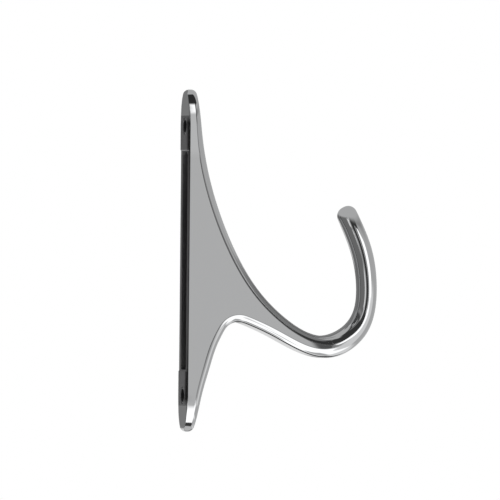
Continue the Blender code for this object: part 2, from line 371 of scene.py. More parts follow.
class StageSettings(bpy.types.PropertyGroup):
    """Settings of the floor, the lights and the camera."""

    floor_level: FloatProperty(
        name="Floor Level",
        description="Height of the floor, below the middle of the hook",
        default=-0.10,
        min=-1.0,
        max=-0.062,
        unit="LENGTH",
    )
    floor_radius: FloatProperty(
        name="Floor Radius",
        description="Radius of the round floor",
        default=0.6,
        min=0.1,
        max=5.0,
        unit="LENGTH",
    )
    floor_tint: FloatVectorProperty(
        name="Floor",
        description="Colour of the pale floor",
        default=(0.85, 0.85, 0.85),
        min=0.0,
        max=1.0,
        subtype="COLOR",
    )
    soft_light: FloatProperty(
        name="Soft Light",
        description="Strength of the even light on the floor",
        default=0.55,
        min=0.0,
        max=2.0,
    )
    lamp_power: FloatProperty(
        name="Lamp",
        description="Power of the lamp that casts the shadow on the floor",
        default=5.0,
        min=0.0,
        max=100.0,
        unit="POWER",
    )
    camera_turn: FloatProperty(
        name="Camera Turn",
        description="How far the camera stands round to the back of the hook",
        default=math.radians(13.27),
        subtype="ANGLE",
    )
    camera_roll: FloatProperty(
        name="Camera Roll",
        description="Tilt of the camera about its line of sight",
        default=0.0093,
        subtype="ANGLE",
    )
    camera_distance: FloatProperty(
        name="Camera Distance",
        description="Distance from the camera to the middle of the view",
        default=5.0,
        min=0.3,
        max=20.0,
        unit="LENGTH",
    )
    view_height: FloatProperty(
        name="View Height",
        description="Height and width of the square view at the hook",
        default=178.25 * MM,
        min=0.1,
        max=1.0,
        unit="LENGTH",
    )
    view_right: FloatProperty(
        name="View Centre Across",
        description="The view's middle, across from the hook's origin",
        default=23.65 * MM,
        unit="LENGTH",
    )
    view_level: FloatProperty(
        name="View Centre Level",
        description="The view's middle, above the hook's origin",
        default=4.0 * MM,
        unit="LENGTH",
    )


class Line:
    """A curve of even bend through points in the XZ plane, read at a point's number or between two."""

    def __init__(self, points):
        self.points = np.array(points)
        rise = np.diff(self.points, axis=0)
        self.steps = np.linalg.norm(rise, axis=1)
        slopes = rise / self.steps[:, None]
        count = len(points)
        system = np.eye(count)
        turns = np.zeros((count, 2))
        for i in range(1, count - 1):
            before, after = self.steps[i - 1], self.steps[i]
            system[i, i - 1:i + 2] = before, 2 * (before + after), after
            turns[i] = 6 * (slopes[i] - slopes[i - 1])
        self.bend = np.linalg.solve(system, turns)

    def at(self, place):
        """The point at a place and the unit direction of travel there."""
        i = min(max(int(place), 0), len(self.steps) - 1)
        h = self.steps[i]
        b = (place - i) * h
        a = h - b
        p, q = self.points[i], self.points[i + 1]
        m, n = self.bend[i], self.bend[i + 1]
        point = (m * a**3 + n * b**3) / (6 * h) + (p / h - m * h / 6) * a + (q / h - n * h / 6) * b
        slope = (n * b**2 - m * a**2) / (2 * h) + (q - p) / h - (n - m) * h / 6
        return point, slope / np.linalg.norm(slope)

    def at_level(self, z, first, last):
        """The same where the line, falling between two places, passes level z."""
        for _ in range(HALVINGS):
            middle = (first + last) / 2
            if self.at(middle)[0][1] > z:
                first = middle
            else:
                last = middle
        return self.at((first + last) / 2)


def inward(along):
    """Both edge lines are drawn with the metal on their right."""
    return np.array((along[1], -along[0]))


def from_floor(out, rise):
    """A point on the arm, from the lowest point of its upper edge."""
    return (FLOOR_DEPTH + out, FLOOR_LEVEL + rise)


def round_notch(degrees):
    """A point on the notch's arc, whose top is at 90 degrees."""
    turn = math.radians(degrees)
    return (NOTCH_DEPTH + NOTCH_RADIUS * math.cos(turn), NOTCH_LEVEL + NOTCH_RADIUS * (math.sin(turn) - 1))


def saddle_line():
    """The upper edge, from the upper end down the front and along the hook to its tip."""
    return Line((
        (UPPER_END_DEPTH, HALF_HEIGHT),
        (UPPER_WAIST_DEPTH, FIXING_LEVEL - UPPER_WAIST_DROP),
        (WEB_DEPTH, WEB_LEVEL),
        from_floor(-CROOK_BACK, CROOK_RISE),
        from_floor(-ROOT_BACK, ROOT_RISE),
        from_floor(0.0, 0.0),
        from_floor(BEND_OUT, BEND_RISE),
        from_floor(NECK_OUT, NECK_RISE),
        from_floor(UPRIGHT_OUT, UPRIGHT_RISE),
        from_floor(TIP_OUT, TIP_RISE),
    ))


def under_line(saddle):
    """The lower edge, from the tip back along the underside, round the notch and down to the lower end."""
    points = []
    for place, thickness in zip(range(TIP, ROOT - 1, -1), reversed(ARM_THICKNESS)):
        point, along = saddle.at(place)
        points.append(tuple(point + inward(along) * thickness))
    points.append((NOTCH_DEPTH + UNDERSIDE_OUT, NOTCH_LEVEL - UNDERSIDE_DROP))
    points += [round_notch(degrees) for degrees in NOTCH_TURNS]
    points += [
        (NOTCH_DEPTH - LOWER_ROOT_BACK, NOTCH_LEVEL - LOWER_ROOT_DROP),
        (LOWER_WAIST_DEPTH, -FIXING_LEVEL + LOWER_WAIST_RISE),
        (LOWER_FIXING_DEPTH, -FIXING_LEVEL),
        (LOWER_END_DEPTH, -HALF_HEIGHT),
    ]
    return Line(points)


def eased(place, span, start, end):
    """A value that passes from start to end over a span, with its slope and bend even at both ends."""
    share = float(np.interp(place, span, (0.0, 1.0)))
    return start + (end - start) * share**3 * (10 - 15 * share + 6 * share**2)


def between(one_way, other_way, share):
    """A unit direction between two others."""
    way = one_way * (1 - share) + other_way * share
    return way / np.linalg.norm(way)


def least(*values):
    """The least of some sizes, passing from one to the next without a kink."""
    return sum(value**-BLEND_POWER for value in values) ** (-1 / BLEND_POWER)


def edge_row(point, inward_way, half_width, radius, steps):
    """The row of points across one rounded edge, from its near side to its far side."""
    half = []
    for i in range(steps + 1):
        turn = math.pi / 2 * i / steps
        x, z = point + inward_way * radius * (1 - math.sin(turn))
        half.append((x, half_width - radius + radius * math.cos(turn), z))
    near = [Vector((x, -y, z)) for x, y, z in half]
    far = [Vector(place) for place in reversed(half)]
    return near + far


def ring(one, other):
    """Two facing edge rows taken as one closed ring."""
    return one + other[::-1]


class Skin:
    """Draws rows of points out into a piece's skin, in edit mode.

    Each point of a row carries its number in the row, which extruding copies to the new point.
    """

    def __init__(self, name):
        bpy.ops.object.select_all(action="DESELECT")
        bpy.ops.mesh.primitive_circle_add(vertices=3, radius=START_RADIUS)
        self.object = bpy.context.active_object
        self.object.name = name
        self.object.data.name = name
        bpy.ops.object.mode_set(mode="EDIT")
        bpy.ops.mesh.delete(type="VERT")
        mesh = bmesh.from_edit_mesh(self.object.data)
        mesh.verts.layers.int.new("number")
        bmesh.update_edit_mesh(self.object.data)

    def place(self, row):
        """Puts the selected points where the row's points of the same number are."""
        mesh = bmesh.from_edit_mesh(self.object.data)
        number = mesh.verts.layers.int["number"]
        for vert in mesh.verts:
            if vert.select:
                vert.co = row[vert[number]]
        bmesh.update_edit_mesh(self.object.data, loop_triangles=False)

    def start(self, row):
        """Begins a closed ring."""
        bpy.ops.mesh.select_all(action="DESELECT")
        bpy.ops.mesh.primitive_circle_add(vertices=len(row), radius=START_RADIUS)
        mesh = bmesh.from_edit_mesh(self.object.data)
        number = mesh.verts.layers.int["number"]
        drawn = [vert for vert in mesh.verts if vert.select]
        drawn.sort(key=lambda vert: math.atan2(vert.co.y, vert.co.x))
        for i, vert in enumerate(drawn):
            vert[number] = i
        bmesh.update_edit_mesh(self.object.data)
        self.place(row)

    def pick(self, row):
        """Selects a row that is already drawn, and gives its points their numbers in it."""
        bpy.ops.mesh.select_all(action="DESELECT")
        mesh = bmesh.from_edit_mesh(self.object.data)
        mesh.verts.ensure_lookup_table()
        number = mesh.verts.layers.int["number"]
        tree = KDTree(len(mesh.verts))
        for vert in mesh.verts:
            tree.insert(vert.co, vert.index)
        tree.balance()
        for i, point in enumerate(row):
            vert = mesh.verts[tree.find(point)[1]]
            vert[number] = i
            vert.select = True
        mesh.select_flush(True)
        bmesh.update_edit_mesh(self.object.data)

    def draw(self, rows):
        """Extrudes the selected row through further rows."""
        for row in rows:
            bpy.ops.mesh.extrude_edges_move()
            self.place(row)

    def close(self):
        """Closes the selected ring with one face."""
        bpy.ops.mesh.edge_face_add()

    def fill_sides(self, half_width):
        """Closes the flat hole on each side of the web with one face."""
        bpy.ops.mesh.select_mode(type="EDGE")
        for side in (-1, 1):
            bpy.ops.mesh.select_all(action="DESELECT")
            mesh = bmesh.from_edit_mesh(self.object.data)
            for edge in mesh.edges:
                flat = all(abs(vert.co.y - side * half_width) < FLAT_TOLERANCE for vert in edge.verts)
                if edge.is_boundary and flat:
                    edge.select = True
            bmesh.update_edit_mesh(self.object.data)
            bpy.ops.mesh.edge_face_add()
        bpy.ops.mesh.select_mode(type="VERT")

    def merge(self):
        """Joins points that lie on each other, where rows meet."""
        bpy.ops.mesh.select_all(action="SELECT")
        bpy.ops.mesh.remove_doubles(threshold=MERGE_DISTANCE)

    def finish(self):
        """Turns all faces outwards and leaves edit mode."""
        bpy.ops.mesh.select_all(action="SELECT")
        bpy.ops.mesh.normals_make_consistent(inside=False)
        bpy.ops.object.mode_set(mode="OBJECT")
        self.object.data.attributes.remove(self.object.data.attributes["number"])
        return self.object


def drawn_in(to_end, length, fullness):
    """The share of its width that a piece keeps near a round end, from a start with no kink."""
    past = 1 - min(max(to_end / length, 0.0), 1.0)
    return math.sqrt(1 - past**fullness)


def tail_rows(sizes, line, places, z):
    """Front and back edge rows of a tail at level z."""
    level = abs(z)
    to_end = max(HALF_HEIGHT - level, 0.0)
    end_length = sizes.upper_end_length if z > 0 else sizes.lower_end_length
    half_width = HIGH.y * drawn_in(to_end, end_length, END_FULLNESS)
    rounding = 0.0
    if to_end < END_RADIUS:
        rounding = END_RADIUS - math.sqrt(END_RADIUS**2 - (END_RADIUS - to_end) ** 2)
    recess = PAD_RISE if level < PAD_INNER else 0.0
    back = np.array((rounding + recess, z))
    front, along = line.at_level(z, *places)
    front = front + SQUARE_OUT * (eased(to_end, (0.0, SWELL_LENGTH), END_SWELL, 0.0) - rounding)
    lean = eased(to_end, (end_length, SQUARE_REACH * end_length), 0.0, 1.0)
    way = between(-SQUARE_OUT, inward(along), lean)
    thickness = front[0] - back[0]
    front_radius = least(sizes.front_edge, FRONT_SHARES[0] * half_width, FRONT_SHARES[1] * thickness)
    back_edge = sizes.back_edge + PAD_RISE - recess
    back_edge = eased(level, (PAD_OUTER, PAD_OUTER + EDGE_CHANGE), back_edge, sizes.end_back_edge)
    back_radius = least(back_edge, BACK_SHARES[0] * half_width, BACK_SHARES[1] * thickness)
    front_row = edge_row(front, way, half_width, front_radius, sizes.edge_steps)
    back_row = edge_row(back, SQUARE_OUT, half_width, back_radius, sizes.edge_steps)
    return front_row, back_row


def tail_levels(start, end_length):
    """Levels of a tail's rings, from its root to its end, taken upward."""
    end_start = HALF_HEIGHT - end_length
    levels = list(np.linspace(start, PAD_INNER - PAD_RISE, TAIL_RINGS))
    levels += list(np.linspace(PAD_INNER, end_start, PAD_RINGS)[:-1])
    levels += [HALF_HEIGHT - end_length * (1 - math.cos(math.radians(turn))) for turn in END_TURNS]
    levels.append(PAD_OUTER)
    return sorted(levels)


def arm_rows(sizes, saddle, under, place):
    """Upper and lower edge rows of the arm at a place between its root and its tip."""
    top, top_along = saddle.at(place)
    bottom, bottom_along = under.at(TIP - place)
    half_thickness = np.linalg.norm(top - bottom) / 2
    across = (bottom - top) / (2 * half_thickness)
    half_width = eased(place, NARROWING, HIGH.y, half_thickness)
    radius = eased(place, EDGE_ROUNDING, sizes.root_edge, half_thickness - ROUND_LAND)
    facing = eased(place, EDGE_ROUNDING, 0.0, 1.0)
    top_way = between(inward(top_along), across, facing)
    bottom_way = between(inward(bottom_along), -across, facing)
    top_row = edge_row(top, top_way, half_width, radius, sizes.edge_steps)
    bottom_row = edge_row(bottom, bottom_way, half_width, radius, sizes.edge_steps)
    to_apex = np.linalg.norm(saddle.at(TIP)[0] - top) + half_thickness
    return narrowed((top_row, bottom_row), drawn_in(to_apex, sizes.tip_length, TIP_FULLNESS))


def narrowed(rows, share):
    """Rows with their points drawn in to the middle plane."""
    return tuple([Vector((point.x, point.y * share, point.z)) for point in row] for row in rows)


def tip_rows(sizes, saddle, under, turn):
    """Upper and lower edge rows of a slice of the domed tip, at an angle up the dome."""
    top, along = saddle.at(TIP)
    bottom = under.at(0)[0]
    full = np.linalg.norm(top - bottom) / 2
    across = (top - bottom) / (2 * full)
    rise = math.sin(math.radians(turn))
    middle = (top + bottom) / 2 + along * full * rise
    half = full * (1 - rise**TIP_BLUNTNESS) ** (1 / TIP_BLUNTNESS)
    radius = half * (1 - ROUND_LAND / full)
    top_row = edge_row(middle + across * half, -across, half, radius, sizes.edge_steps)
    bottom_row = edge_row(middle - across * half, across, half, radius, sizes.edge_steps)
    return narrowed((top_row, bottom_row), drawn_in(full * (1 - rise), sizes.tip_length, TIP_FULLNESS))


def line_rows(sizes, line, first, last, count, start_radius, end_radius):
    """Edge rows along one line of the flat-sided web, between two places and without them."""
    rows = []
    for share in np.linspace(0.0, 1.0, count)[1:-1]:
        point, along = line.at(first + (last - first) * share)
        radius = start_radius + (end_radius - start_radius) * share
        rows.append(edge_row(point, inward(along), HIGH.y, radius, sizes.edge_steps))
    return rows


def draw_casting(sizes, saddle, under):
    """The uncut casting: rings of the two tails and the arm, joined by the edges of the web."""
    skin = Skin("chromed_casting")
    web_level = saddle.at(WEB)[0][1]
    levels = tail_levels(web_level, sizes.upper_end_length)
    upper = [tail_rows(sizes, saddle, (0, WEB), z) for z in levels]
    levels = tail_levels(-under.at(UNDER_TAIL)[0][1], sizes.lower_end_length)
    lower = [tail_rows(sizes, under, (UNDER_NOTCH, UNDER_END), -z) for z in levels]
    arm = [arm_rows(sizes, saddle, under, place) for place in np.linspace(ROOT, TIP, ARM_RINGS)]
    arm += [tip_rows(sizes, saddle, under, turn) for turn in TIP_TURNS]
    for rows in (upper, lower, arm):
        skin.start(ring(*rows[0]))
        skin.draw([ring(*pair) for pair in rows[1:]])
        skin.close()

    above = line_rows(sizes, saddle, WEB, ROOT, ABOVE_RINGS, sizes.front_edge, sizes.root_edge)
    below = line_rows(sizes, under, UNDER_ROOT, UNDER_TAIL, BELOW_RINGS, sizes.root_edge, sizes.front_edge)
    for first, rows, last in (
        (upper[0][0], above, arm[0][0]),
        (arm[0][1], below, lower[0][0]),
        (lower[0][1], [], upper[0][1]),
    ):
        skin.pick(first)
        skin.draw(rows + [last])
        skin.merge()
    skin.fill_sides(HIGH.y)
    return skin.finish()


def only(piece):
    """Leaves one piece selected and active."""
    bpy.ops.object.select_all(action="DESELECT")
    piece.select_set(True)
    bpy.context.view_layer.objects.active = piece


def cut_out(piece, cutter):
    """Cuts one piece out of another, which takes the cutter's material in the hollow, and removes it."""
    only(piece)
    bpy.ops.object.modifier_add(type="BOOLEAN")
    modifier = piece.modifiers[-1]
    modifier.operation = "DIFFERENCE"
    modifier.material_mode = "TRANSFER"
    modifier.object = cutter
    bpy.ops.object.modifier_apply(modifier=modifier.name)
    only(cutter)
    bpy.ops.object.delete()


def front_walls(sizes, saddle, under):
    """The inner face of the front wall over the pocket, seen from the side, as two rising lines."""
    walls = []
    for line, first, last in ((saddle, 0, ROOT), (under, UNDER_NOTCH, UNDER_END)):
        wall = []
        for place in np.linspace(last, first, WALL_POINTS):
            point, along = line.at(place)
            wall.append(point + inward(along) * sizes.front_wall)
        walls.append(np.array(wall))
    return walls


def draw_pocket(sizes, saddle, under):
    """The core that leaves the pocket: as deep as the front wall allows, up to its full depth."""
    walls = front_walls(sizes, saddle, under)
    end = PAD_INNER - PAD_TO_POCKET
    corner = sizes.pocket_corner
    levels = [end - corner * (1 - math.cos(math.radians(turn))) for turn in CORNER_TURNS]
    levels += list(np.linspace(end - corner, 0.0, POCKET_RINGS))[1:]
    levels += [-z for z in reversed(levels[:-1])]
    rings = []
    for z in levels:
        to_corner = max(corner - (end - abs(z)), 0.0)
        set_in = corner - math.sqrt(corner**2 - to_corner**2)
        half_width = HIGH.y - sizes.side_wall - set_in
        depth = least(sizes.pocket_depth, *[np.interp(z, wall[:, 1], wall[:, 0]) for wall in walls])
        deepest = np.array((depth - set_in, z))
        floor = edge_row(deepest, -SQUARE_OUT, half_width, corner, POCKET_CORNER_STEPS)
        mouth = [Vector((-OVERCUT, half_width, z)), Vector((-OVERCUT, -half_width, z))]
        rings.append(floor + mouth)
    skin = Skin("pocket_core")
    skin.start(rings[0])
    skin.close()
    skin.pick(rings[0])
    skin.draw(rings[1:])
    skin.close()
    return skin.finish()


def draw_bore(level, clearance):
    """The drill for one bush's blind hole."""
    depth = UPPER_BUSH[1].x + clearance
    radius = (UPPER_BUSH[1].z - UPPER_BUSH[0].z) / 2 + clearance
    bpy.ops.object.select_all(action="DESELECT")
    bpy.ops.mesh.primitive_cylinder_add(
        vertices=DRILL_STEPS,
        radius=radius,
        depth=depth + OVERCUT,
        location=((depth - OVERCUT) / 2, 0.0, level),
        rotation=(0.0, math.pi / 2, 0.0),
    )
    bpy.ops.object.transform_apply()
    return bpy.context.active_object


def give_second_material(piece, chosen):
    """Gives a piece's second material to the faces that a test of their normal and middle chooses."""
    only(piece)
    bpy.ops.object.mode_set(mode="EDIT")
    bpy.ops.mesh.select_mode(type="FACE")
    bpy.ops.mesh.select_all(action="DESELECT")
    mesh = bmesh.from_edit_mesh(piece.data)
    for face in mesh.faces:
        if chosen(face.normal, face.calc_center_median()):
            face.select = True
    bmesh.update_edit_mesh(piece.data)
    piece.active_material_index = 1
    bpy.ops.object.material_slot_assign()
    bpy.ops.mesh.select_mode(type="VERT")
    bpy.ops.object.mode_set(mode="OBJECT")


def on_panel(normal, place):
    """Whether a face of the casting is one that lies against the panel, up to the pads' outer ends."""
    at_back = normal.x < BACK_FACING and place.x < PAD_RISE + BACK_TOLERANCE
    return at_back and abs(place.z) < PAD_OUTER


def even_shading(piece, sharp):
    """Smooths a piece up to an angle, and keeps its flats flat."""
    only(piece)
    bpy.ops.object.shade_smooth_by_angle(angle=math.radians(sharp))
    bpy.ops.object.modifier_add(type="WEIGHTED_NORMAL")
    modifier = piece.modifiers[-1]
    modifier.keep_sharp = True
    bpy.ops.object.modifier_apply(modifier=modifier.name)


def add_node(tree, kind, settings=(), **sockets):
    """Adds a node with its settings, and values on its sockets by their names."""
    node = tree.nodes.new(kind)
    for name, value in dict(settings).items():
        setattr(node, name, value)
    for name, value in sockets.items():
        node.inputs[name.replace("_", " ")].default_value = value
    return node


def new_metal(name, tint):
    """A metal of one colour, with its node tree and shader."""
    material = bpy.data.materials.new(name)
    material.use_nodes = True
    tree = material.node_tree
    shader = tree.nodes["Principled BSDF"]
    shader.inputs["Base Color"].default_value = (*tint, 1.0)
    shader.inputs["Metallic"].default_value = 1.0
    return material, tree, shader


def add_noise(tree, **sockets):
    """Adds a noise texture on the piece's own coordinates."""
    place = add_node(tree, "ShaderNodeTexCoord")
    texture = add_node(tree, "ShaderNodeTexNoise", **sockets)
    tree.links.new(place.outputs["Object"], texture.inputs["Vector"])
    return texture


def vary_roughness(tree, shader, texture, lowest, highest):
    """Spreads a texture between two roughnesses."""
    spread = add_node(tree, "ShaderNodeMapRange", To_Min=lowest, To_Max=highest)
    tree.links.new(texture.outputs[0], spread.inputs["Value"])
    tree.links.new(spread.outputs["Result"], shader.inputs["Roughness"])


def add_bump(tree, shader, texture, strength, distance):
    """Raises the surface's shading by a texture."""
    bump = add_node(tree, "ShaderNodeBump", Strength=strength, Distance=distance)
    tree.links.new(texture.outputs[0], bump.inputs["Height"])
    tree.links.new(bump.outputs["Normal"], shader.inputs["Normal"])


def polished_chrome(tint):
    """Bright plating over a hand-polished casting: a mirror with a faint, slow ripple and buffing haze."""
    material, tree, shader = new_metal("polished_chrome", tint)
    haze = add_noise(tree, Scale=180.0, Detail=4.0, Roughness=0.6)
    ripple = add_noise(tree, Scale=120.0, Detail=1.0, Roughness=0.4)
    vary_roughness(tree, shader, haze, lowest=0.03, highest=0.075)
    add_bump(tree, shader, ripple, strength=0.06, distance=0.02 * MM)
    return material


def unpolished_plating(tint):
    """The same plating where the casting was never polished: dull, with the grain of the mould."""
    material, tree, shader = new_metal("unpolished_plating", tint)
    patches = add_noise(tree, Scale=260.0, Detail=5.0, Roughness=0.65)
    grain = add_noise(tree, Scale=2600.0, Detail=3.0, Roughness=0.6)
    vary_roughness(tree, shader, patches, lowest=0.36, highest=0.55)
    add_bump(tree, shader, grain, strength=0.35, distance=0.06 * MM)
    return material


def turned_steel(name, tint, level):
    """Turned steel with fine tool rings round a bush's own axis."""
    material, tree, shader = new_metal(name, tint)
    place = add_node(tree, "ShaderNodeTexCoord")
    centred = add_node(tree, "ShaderNodeMapping", Location=(0.0, 0.0, -level))
    rings = add_node(
        tree,
        "ShaderNodeTexWave",
        {"wave_type": "RINGS", "rings_direction": "X"},
        Scale=1500.0,
        Distortion=1.2,
        Detail=2.0,
        Detail_Scale=1.0,
    )
    tree.links.new(place.outputs["Object"], centred.inputs["Vector"])
    tree.links.new(centred.outputs["Vector"], rings.inputs["Vector"])
    vary_roughness(tree, shader, rings, lowest=0.24, highest=0.38)
    add_bump(tree, shader, rings, strength=0.25, distance=0.01 * MM)
    return material


def shaded_thread(tint):
    """The tapped bore, painted near black as painted shade for the depth of the hole, with patches of
    roughness.
    """
    material, tree, shader = new_metal("shaded_thread", tint)
    bore_mottle = add_noise(tree, Scale=900.0, Detail=3.0, Roughness=0.5)
    vary_roughness(tree, shader, bore_mottle, lowest=0.22, highest=0.40)
    return material


class OBJECT_OT_hook_casting(bpy.types.Operator):
    """Model the chromed casting: two tails, the web between them and the round arm, cored from behind"""

    bl_idname = "object.hook_casting"
    bl_label = "Hook Casting"
    bl_options = {"REGISTER", "UNDO"}

    def execute(self, context):
        sizes = context.scene.coat_hook_casting
        saddle = saddle_line()
        under = under_line(saddle)
        casting = draw_casting(sizes, saddle, under)
        casting.data.materials.append(polished_chrome(sizes.chrome_tint))
        plating = unpolished_plating(sizes.core_tint)
        casting.data.materials.append(plating)
        cutters = [draw_pocket(sizes, saddle, under)]
        cutters += [draw_bore(level, sizes.bore_clearance) for level in (FIXING_LEVEL, -FIXING_LEVEL)]
        for cutter in cutters:
            cutter.data.materials.append(plating)
            cut_out(casting, cutter)
        give_second_material(casting, on_panel)
        even_shading(casting, CASTING_SHARP)
        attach(casting, "root")
        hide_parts("hook_casting")
        return {"FINISHED"}


def turned_ring(depth, radii):
    """A ring round the upper bush's axis at a depth from the back, with a radius for each of its points."""
    ring_points = []
    for i, radius in enumerate(radii):
        turn = 2 * math.pi * i / len(radii)
        ring_points.append(Vector((depth, radius * math.cos(turn), FIXING_LEVEL + radius * math.sin(turn))))
    return ring_points


def thread_radii(sizes, depth, steps):
    """The bore's radii at a depth: a vee thread that runs out in the cone at its mouth."""
    core = sizes.thread_core / 2
    mouth = sizes.thread_mouth / 2
    cone = mouth - (depth - UPPER_BUSH[0].x)
    radii = []
    for i in range(steps):
        turn = (depth / sizes.thread_pitch + i / steps) % 1.0
        groove = max(1 - abs(2 * turn - 1) * FLANK_STEEPNESS, 0.0)
        radii.append(max(core + sizes.thread_depth * groove, cone))
    return radii


def draw_bush(sizes, name):
    """One bush, turned outside and tapped inside, as a ring of rows that closes on itself."""
    steps = sizes.turn_steps
    open_end, blind_end = UPPER_BUSH[0].x, UPPER_BUSH[1].x
    outer = (UPPER_BUSH[1].z - UPPER_BUSH[0].z) / 2
    chamfer = sizes.chamfer
    mouth = turned_ring(open_end, [sizes.thread_mouth / 2] * steps)
    outside = (
        (open_end, outer - chamfer),
        (open_end + chamfer, outer),
        (blind_end - chamfer, outer),
        (blind_end, outer - chamfer),
    )
    rows = [turned_ring(depth, [radius] * steps) for depth, radius in outside]
    rings = int((blind_end - open_end) / sizes.thread_pitch * sizes.rings_per_pitch)
    for depth in np.linspace(blind_end, open_end, rings)[:-1]:
        rows.append(turned_ring(depth, thread_radii(sizes, depth, steps)))
    skin = Skin(name)
    skin.start(mouth)
    skin.draw(rows + [mouth])
    skin.merge()
    return skin.finish()


def in_bore(level, mouth):
    """A test for the faces that face the axis of the bush at a level, inside its mouth."""

    def chosen(normal, place):
        off_axis = place.z - level
        facing_axis = normal.y * place.y + normal.z * off_axis < BORE_FACING * mouth
        return facing_axis and math.hypot(place.y, off_axis) < mouth / 2

    return chosen


class OBJECT_OT_hook_bushes(bpy.types.Operator):
    """Model one threaded bush and copy it to the other fixing"""

    bl_idname = "object.hook_bushes"
    bl_label = "Threaded Bushes"
    bl_options = {"REGISTER", "UNDO"}

    def execute(self, context):
        sizes = context.scene.coat_hook_bushes
        upper = draw_bush(sizes, "upper_bush")
        only(upper)
        bpy.ops.object.shade_smooth_by_angle(angle=math.radians(BUSH_SHARP))
        bpy.ops.object.duplicate(linked=False)
        lower = context.active_object
        lower.name = "lower_bush"
        lower.data.name = "lower_bush"
        bpy.ops.object.mode_set(mode="EDIT")
        bpy.ops.mesh.select_all(action="SELECT")
        bpy.ops.transform.translate(value=(0.0, 0.0, LOWER_BUSH[0].z - UPPER_BUSH[0].z))
        bpy.ops.object.mode_set(mode="OBJECT")
        # Painted shade: one near-black material for the inside of both threads
        bore_shade = shaded_thread(sizes.bore_shade_tint)
        for bush, node, level in (
            (upper, "upper_threaded_bush", FIXING_LEVEL),
            (lower, "lower_threaded_bush", -FIXING_LEVEL),
        ):
            bush.data.materials.append(turned_steel(bush.name + "_steel", sizes.steel_tint, level))
            bush.data.materials.append(bore_shade)
            # The faces inside the bore's mouth take the painted shade
            give_second_material(bush, in_bore(level, sizes.thread_mouth))
            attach(bush, "root")
            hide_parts(node)
        return {"FINISHED"}


def glow_material(name, strength):
    """Light from a panel that fades out towards its rim."""
    material = bpy.data.materials.new(name)
    material.use_nodes = True
    material.cycles.emission_sampling = "NONE"
    tree = material.node_tree
    tree.nodes.clear()
    cover = add_node(tree, "ShaderNodeAttribute", {"attribute_name": "cover"})
    glow = add_node(tree, "ShaderNodeEmission", Strength=strength)
    clear = add_node(tree, "ShaderNodeBsdfTransparent")
    mix = add_node(tree, "ShaderNodeMixShader")
    output = add_node(tree, "ShaderNodeOutputMaterial")
    tree.links.new(cover.outputs["Fac"], mix.inputs[0])
    tree.links.new(clear.outputs[0], mix.inputs[1])
    tree.links.new(glow.outputs[0], mix.inputs[2])
    tree.links.new(mix.outputs[0], output.inputs["Surface"])
    return material


def smooth_step(share):
    """A share from 0 to 1 that starts and ends level."""
    share = min(max(share, 0.0), 1.0)
    return share * share * (3 - 2 * share)


class Reflector(NamedTuple):
    """A curved panel that only the polish sees, by the directions it spans from its centre, in degrees.

    Azimuths are counted from -Y towards +X.
    """

    name: str
    azimuths: tuple
    elevations: tuple
    soft_rim: float
    strength: float
    centre: tuple = (0.0, 0.0, 0.0)
    radius: float = ROOM_RADIUS


ARM_MIDDLE = (HIGH.x - 5.0 * MM, LOW.y / 2, -5.0 * MM)
ARM_TIP = (57.0 * MM, 0.0, 14.0 * MM)
UPPER_END = (3.0 * MM, 0.0, HIGH.z - 4.0 * MM)
LOWER_END = (3.0 * MM, 0.0, LOW.z + 4.0 * MM)
BESIDE_BACK = (FLAG_RADIUS - 1.5 * MM, 0.0, 0.0)

